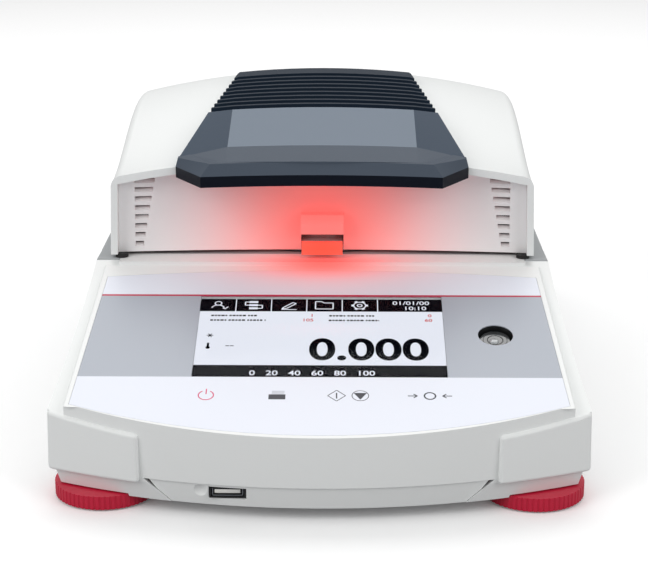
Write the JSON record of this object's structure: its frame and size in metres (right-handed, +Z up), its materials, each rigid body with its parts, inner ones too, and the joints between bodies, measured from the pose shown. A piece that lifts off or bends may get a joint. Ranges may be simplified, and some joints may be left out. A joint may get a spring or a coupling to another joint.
{
  "type": "moisture analyzer",
  "caption": "Bench moisture analyzer with a sloped display console, a weighing pan in a heated chamber under a rear-hinged ribbed lid, and screw-down levelling feet.",
  "frame": {"origin": "centre of the footprint, on the surface that the feet stand on", "axes": "+X to the right seen from the front, +Y to the rear, +Z up"},
  "size_m": [0.2076, 0.3191, 0.1338],
  "materials": {
    "shell_plastic": "fine moulded texture",
    "deck_plastic": "fine moulded texture",
    "cover_plastic": "satin moulded",
    "overlay_film": "printed film",
    "display": "display module",
    "clear_glass": "clear",
    "black_plastic": "moulded",
    "rubber": "moulded",
    "red_plastic": "moulded, knurled",
    "stainless": "drawn sheet",
    "aluminium": "pressed or milled",
    "steel": "turned",
    "board": "printed circuit board",
    "ceramic": "fired",
    "red_lens": "clear red",
    "brass": "turned"
  },
  "bodies": {
    "root": {"console_shell": "shell_plastic", "base_tray": "shell_plastic", "usb_front_socket": "black_plastic", "rear_panel": "stainless", "mains_inlet": "black_plastic", "mains_pins": "brass", "serial_socket": "stainless", "usb_device_socket": "stainless", "fuse_holder": "black_plastic", "chamber_deck": "deck_plastic", "floor_shield": "stainless", "draft_shield": "aluminium", "pan_support": "stainless", "weighing_cell": "aluminium", "cell_block": "aluminium", "power_supply": "board", "main_board": "board", "control_overlay": "overlay_film", "display_glass": "clear_glass", "display_module": "display", "key_board": "board", "level_cup": "black_plastic", "level_vial": "clear_glass", "rear_feet": "rubber", "hinge_brackets": "steel", "hinge_pins": "steel", "foot_nut_left": "brass", "foot_nut_right": "brass", "housing_screws": "steel"},
    "lid": {"lid_shell": "shell_plastic", "lid_front_panel": "shell_plastic", "lid_cover": "cover_plastic", "status_lens": "red_lens", "lid_bumpers": "rubber", "lid_liner": "stainless", "heater_collar": "stainless", "lid_screws": "steel", "status_board": "board", "heater_glass": "clear_glass", "glass_ring": "stainless", "heater_reflector": "stainless", "ring_lamp": "clear_glass", "lamp_holders": "ceramic", "chamber_probe": "stainless", "hinge_arms": "steel"},
    "pan": {"sample_pan": "aluminium"},
    "handler": {"pan_handler": "stainless", "handler_grip": "stainless"},
    "pad_left": {"foot_pad_left": "rubber"},
    "wheel_left": {"foot_wheel_left": "red_plastic"},
    "pad_right": {"foot_pad_right": "rubber"},
    "wheel_right": {"foot_wheel_right": "red_plastic"},
    "key_power": {"key_power": "black_plastic"},
    "key_print": {"key_print": "black_plastic"},
    "key_start": {"key_start": "black_plastic"},
    "key_tare": {"key_tare": "black_plastic"}
  },
  "joints": [
    {"name": "lid_hinge", "type": "hinge", "parent": "root", "child": "lid", "pos_m": [0, 0.128, 0.082], "axis": [-1, 0, 0], "range_deg": [0, 85]},
    {"name": "pan_lift", "type": "slide", "parent": "root", "child": "pan", "axis": [0, 0, 1], "range_m": [0, 0.012]},
    {"name": "handler_lift", "type": "slide", "parent": "root", "child": "handler", "axis": [0, 0, 1], "range_m": [0, 0.002]},
    {"name": "foot_slide_left", "type": "slide", "parent": "root", "child": "pad_left", "axis": [0, 0, -1], "range_m": [0, 0.005]},
    {"name": "foot_turn_left", "type": "hinge", "parent": "pad_left", "child": "wheel_left", "pos_m": [-0.083, -0.1285, 0], "axis": [0, 0, 1], "range_deg": [0, 1440]},
    {"name": "foot_slide_right", "type": "slide", "parent": "root", "child": "pad_right", "axis": [0, 0, -1], "range_m": [0, 0.005]},
    {"name": "foot_turn_right", "type": "hinge", "parent": "pad_right", "child": "wheel_right", "pos_m": [0.083, -0.1285, 0], "axis": [0, 0, 1], "range_deg": [0, 1440]},
    {"name": "key_power_press", "type": "slide", "parent": "root", "child": "key_power", "axis": [0, 0.2756, -0.9613], "range_m": [0, 0.0003], "stiffness_N_per_m": 3000},
    {"name": "key_print_press", "type": "slide", "parent": "root", "child": "key_print", "axis": [0, 0.2756, -0.9613], "range_m": [0, 0.0003], "stiffness_N_per_m": 3000},
    {"name": "key_start_press", "type": "slide", "parent": "root", "child": "key_start", "axis": [0, 0.2756, -0.9613], "range_m": [0, 0.0003], "stiffness_N_per_m": 3000},
    {"name": "key_tare_press", "type": "slide", "parent": "root", "child": "key_tare", "axis": [0, 0.2756, -0.9613], "range_m": [0, 0.0003], "stiffness_N_per_m": 3000}
  ],
  "couplings": [
    {"joint": "foot_slide_left", "follows": "foot_turn_left", "m_per_rad": 0.00019894},
    {"joint": "foot_slide_right", "follows": "foot_turn_right", "m_per_rad": 0.00019894}
  ]
}
